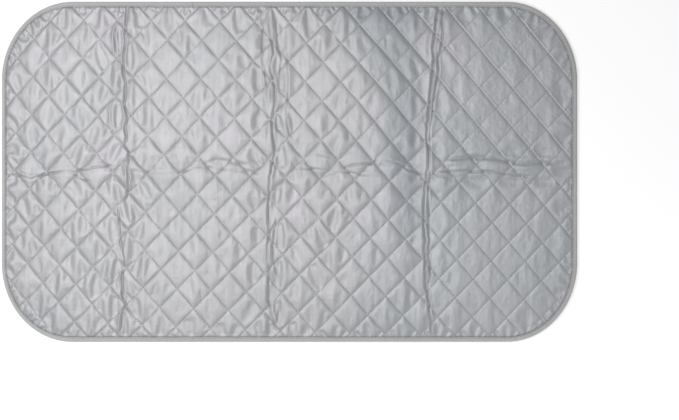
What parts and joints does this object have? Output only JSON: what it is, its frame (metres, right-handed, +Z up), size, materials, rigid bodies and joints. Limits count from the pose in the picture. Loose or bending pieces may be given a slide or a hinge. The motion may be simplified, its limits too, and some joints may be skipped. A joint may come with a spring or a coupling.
{
  "type": "ironing pad",
  "caption": "Thin quilted ironing pad with round corners and a bound edge, silver-coated on top, that folds on lines across its width.",
  "frame": {"origin": "under the middle of the pad, on the surface that it lies on", "axes": "+X along the pad's length to the right, +Y across it to the back, +Z up, out of the ironing surface"},
  "size_m": [0.85, 0.45, 0.0046],
  "materials": {
    "top_cover": "silver-coated woven cloth with a soft sheen",
    "batting": "soft white fibre padding",
    "backing": "plain woven cloth, dull",
    "binding_tape": "ribbed woven tape",
    "thread": "twisted sewing thread"
  },
  "bodies": {
    "panel_3": {"top_cover_3": "top_cover", "batting_3": "batting", "backing_3": "backing", "binding_3_front": "binding_tape", "binding_3_back": "binding_tape"},
    "panel_2": {"top_cover_2": "top_cover", "batting_2": "batting", "backing_2": "backing", "binding_2_front": "binding_tape", "binding_2_back": "binding_tape"},
    "panel_1": {"top_cover_1": "top_cover", "batting_1": "batting", "backing_1": "backing", "binding_1": "binding_tape"},
    "panel_4": {"top_cover_4": "top_cover", "batting_4": "batting", "backing_4": "backing", "binding_4": "binding_tape"}
  },
  "joints": [
    {"name": "fold_middle", "type": "hinge", "parent": "panel_3", "child": "panel_2", "pos_m": [-0.02635, 0, 0.01295], "axis": [0, 1, 0], "range_deg": [0, 180]},
    {"name": "fold_left", "type": "hinge", "parent": "panel_2", "child": "panel_1", "pos_m": [-0.24225, 0, 0.00645], "axis": [0, 1, 0], "range_deg": [0, 180]},
    {"name": "fold_right", "type": "hinge", "parent": "panel_3", "child": "panel_4", "pos_m": [0.20995, 0, 0.00645], "axis": [0, -1, 0], "range_deg": [0, 180]}
  ]
}
